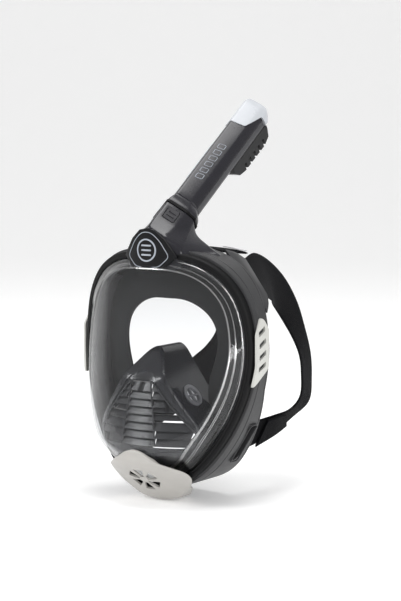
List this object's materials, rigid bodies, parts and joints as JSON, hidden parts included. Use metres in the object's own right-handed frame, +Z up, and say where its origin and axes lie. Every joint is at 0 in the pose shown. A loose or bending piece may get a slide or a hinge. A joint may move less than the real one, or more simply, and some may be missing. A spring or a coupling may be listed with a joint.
{
  "type": "full face snorkel",
  "caption": "Full face diving mask with a clear bowed lens, mouth and nose pocket, strap harness and a plug-in dry-top snorkel tube.",
  "frame": {"origin": "middle of the face opening, on the plane of symmetry, a little above the nose", "axes": "+Z up, -Y the way the wearer looks, +X to the wearer's left"},
  "size_m": [0.207, 0.2566, 0.3879],
  "materials": {
    "lens_clear": "clear polycarbonate",
    "soft_band": "satin soft band",
    "frame_plastic": "satin grey-black",
    "silicone_dark": "matte silicone",
    "gloss_black": "gloss grey-black",
    "button_plastic": "gloss grey-black",
    "badge_black": "gloss black",
    "badge_print": "printed silver-grey",
    "ring_black": "satin black",
    "vent_black": "satin black",
    "inner_plastic": "satin dark",
    "seal_rubber": "matte",
    "float_foam": "closed foam",
    "white_cap": "satin white",
    "chin_grey": "satin light grey",
    "valve_seat": "satin dark",
    "valve_silicone": "translucent silicone",
    "white_trim": "satin white",
    "strap_fabric": "laminated stretch knit",
    "mark_white": "woven patch"
  },
  "bodies": {
    "mask": {"badge_cover": "badge_black", "badge_emblem": "badge_print", "chin_cover": "chin_grey", "collar_ring": "ring_black", "crown_housing": "gloss_black", "drain_seat": "valve_seat", "exhaust_duct_left": "inner_plastic", "exhaust_duct_right": "inner_plastic", "frame": "frame_plastic", "intake_seat_left": "valve_seat", "intake_seat_right": "valve_seat", "lens": "lens_clear", "pocket_frame": "inner_plastic", "pocket_skirt": "silicone_dark", "rim_trim": "soft_band", "side_trim_left": "white_trim", "side_trim_right": "white_trim", "skirt": "silicone_dark", "strap_anchor_left": "frame_plastic", "strap_anchor_right": "frame_plastic", "strap_arm_left": "strap_fabric", "strap_arm_right": "strap_fabric", "strap_crown": "strap_fabric", "strap_mark": "mark_white", "strap_tab_left": "strap_fabric", "strap_tab_right": "strap_fabric"},
    "snorkel": {"tube_plug": "gloss_black", "plug_o_ring": "seal_rubber", "tube_front_shell": "gloss_black", "tube_rear_shell": "gloss_black", "tube_divider": "inner_plastic", "top_cap": "white_cap", "vent_housing": "vent_black", "float_seal": "seal_rubber", "float_guide": "inner_plastic"},
    "float": {"float": "float_foam"},
    "button_left": {"release_button_left": "button_plastic"},
    "button_right": {"release_button_right": "button_plastic"},
    "drain_flap": {"drain_valve": "valve_silicone"},
    "intake_left": {"intake_flap_left": "valve_silicone"},
    "intake_right": {"intake_flap_right": "valve_silicone"}
  },
  "joints": [
    {"name": "snorkel_slide", "type": "slide", "parent": "mask", "child": "snorkel", "axis": [0, 0.8141, 0.5807], "range_m": [0, 0.045]},
    {"name": "float_rise", "type": "slide", "parent": "snorkel", "child": "float", "axis": [0, 0.8141, 0.5807], "range_m": [0, 0.008]},
    {"name": "button_left_press", "type": "slide", "parent": "mask", "child": "button_left", "axis": [0.6616, 0.4354, -0.6105], "range_m": [0, 0.0014], "stiffness_N_per_m": 800},
    {"name": "button_right_press", "type": "slide", "parent": "mask", "child": "button_right", "axis": [-0.6616, 0.4354, -0.6105], "range_m": [0, 0.0014], "stiffness_N_per_m": 800},
    {"name": "drain_valve_open", "type": "slide", "parent": "mask", "child": "drain_flap", "axis": [0, -0.6858, -0.7278], "range_m": [0, 0.0015], "stiffness_N_per_m": 60},
    {"name": "intake_valve_left_open", "type": "slide", "parent": "mask", "child": "intake_left", "axis": [0.8166, 0, -0.5772], "range_m": [0, 0.0015], "stiffness_N_per_m": 60},
    {"name": "intake_valve_right_open", "type": "slide", "parent": "mask", "child": "intake_right", "axis": [-0.8166, 0, -0.5772], "range_m": [0, 0.0015], "stiffness_N_per_m": 60}
  ]
}
